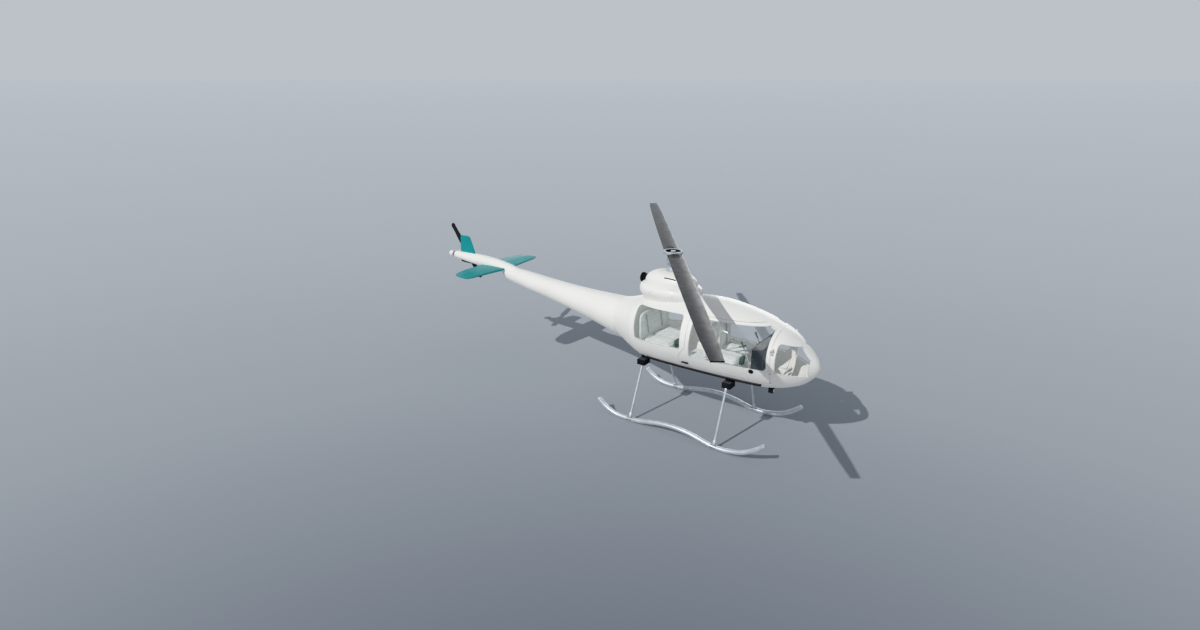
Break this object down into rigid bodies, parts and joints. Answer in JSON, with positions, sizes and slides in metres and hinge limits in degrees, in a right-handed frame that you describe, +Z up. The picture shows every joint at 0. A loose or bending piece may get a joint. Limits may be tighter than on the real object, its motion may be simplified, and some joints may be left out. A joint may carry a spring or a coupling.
{
  "type": "light helicopter",
  "caption": "Light skid-gear helicopter with a rounded glazed cabin, round tail boom, two-bladed main and tail rotors, and two hinged cabin doors.",
  "frame": {"origin": "on the ground, at the middle of the machine's box with its rotors as parked", "axes": "+Z up, nose towards -Y, port side towards +X"},
  "size_m": [8.643, 9.6612, 3.3865],
  "materials": {
    "body_white": "gloss",
    "tail_teal": "satin",
    "blade_grey": "satin",
    "tail_rotor_black": "satin",
    "black_trim": "matte",
    "gear_silver": "satin",
    "glass": "gloss",
    "seat_cover": "matte",
    "cabin_trim": "matte",
    "console_dark": "matte",
    "engine": "satin"
  },
  "bodies": {
    "airframe": {"nose_shell": "body_white", "cabin_tub": "body_white", "cabin_roof": "body_white", "side_panel_left": "body_white", "side_panel_right": "body_white", "rear_fairing": "body_white", "tail_boom": "body_white", "rear_glass_left": "glass", "rear_glass_right": "glass", "nose_glass_left": "glass", "nose_glass_right": "glass", "cowl_lower": "body_white", "cowl_upper": "body_white", "engine": "engine", "exhaust_pipe": "black_trim", "stabiliser_left": "tail_teal", "stabiliser_right": "tail_teal", "tail_fin": "tail_teal", "tail_gearbox": "gear_silver", "skid_left": "gear_silver", "skid_right": "gear_silver", "strut_front_left": "gear_silver", "strut_front_right": "gear_silver", "strut_rear_left": "gear_silver", "strut_rear_right": "gear_silver", "saddle_front_left": "black_trim", "saddle_front_right": "black_trim", "saddle_rear_left": "black_trim", "saddle_rear_right": "black_trim", "swashplate": "gear_silver", "ventral_fin": "tail_teal", "belly_rail_left": "black_trim", "belly_rail_right": "black_trim", "cabin_floor": "cabin_trim", "rear_bulkhead": "cabin_trim", "front_seat_base_left": "cabin_trim", "front_seat_base_right": "cabin_trim", "front_seat_left": "seat_cover", "front_seat_right": "seat_cover", "rear_seat_base": "cabin_trim", "rear_seat": "seat_cover", "instrument_console": "console_dark", "nose_lamp": "black_trim"},
    "main_rotor": {"rotor_mast": "gear_silver", "rotor_hub": "gear_silver", "rotor_blade_1": "blade_grey", "rotor_blade_2": "blade_grey"},
    "tail_rotor": {"tail_rotor": "tail_rotor_black"},
    "door_left": {"door_left": "body_white", "door_glass_left": "glass", "door_handle_left": "black_trim"},
    "door_right": {"door_right": "body_white", "door_glass_right": "glass", "door_handle_right": "black_trim"}
  },
  "joints": [
    {"name": "main_rotor_spin", "type": "hinge", "parent": "airframe", "child": "main_rotor", "pos_m": [0, -1.685, 3.347], "axis": [0, 0, 1], "continuous": true},
    {"name": "tail_rotor_spin", "type": "hinge", "parent": "airframe", "child": "tail_rotor", "pos_m": [0.2435, 4.338, 2.4585], "axis": [1, 0, 0], "continuous": true},
    {"name": "door_left_hinge", "type": "hinge", "parent": "airframe", "child": "door_left", "pos_m": [0.612, -4.023, 1.85], "axis": [0, 0, -1], "range_deg": [0, 75]},
    {"name": "door_right_hinge", "type": "hinge", "parent": "airframe", "child": "door_right", "pos_m": [-0.612, -4.023, 1.85], "axis": [0, 0, 1], "range_deg": [0, 75]}
  ]
}
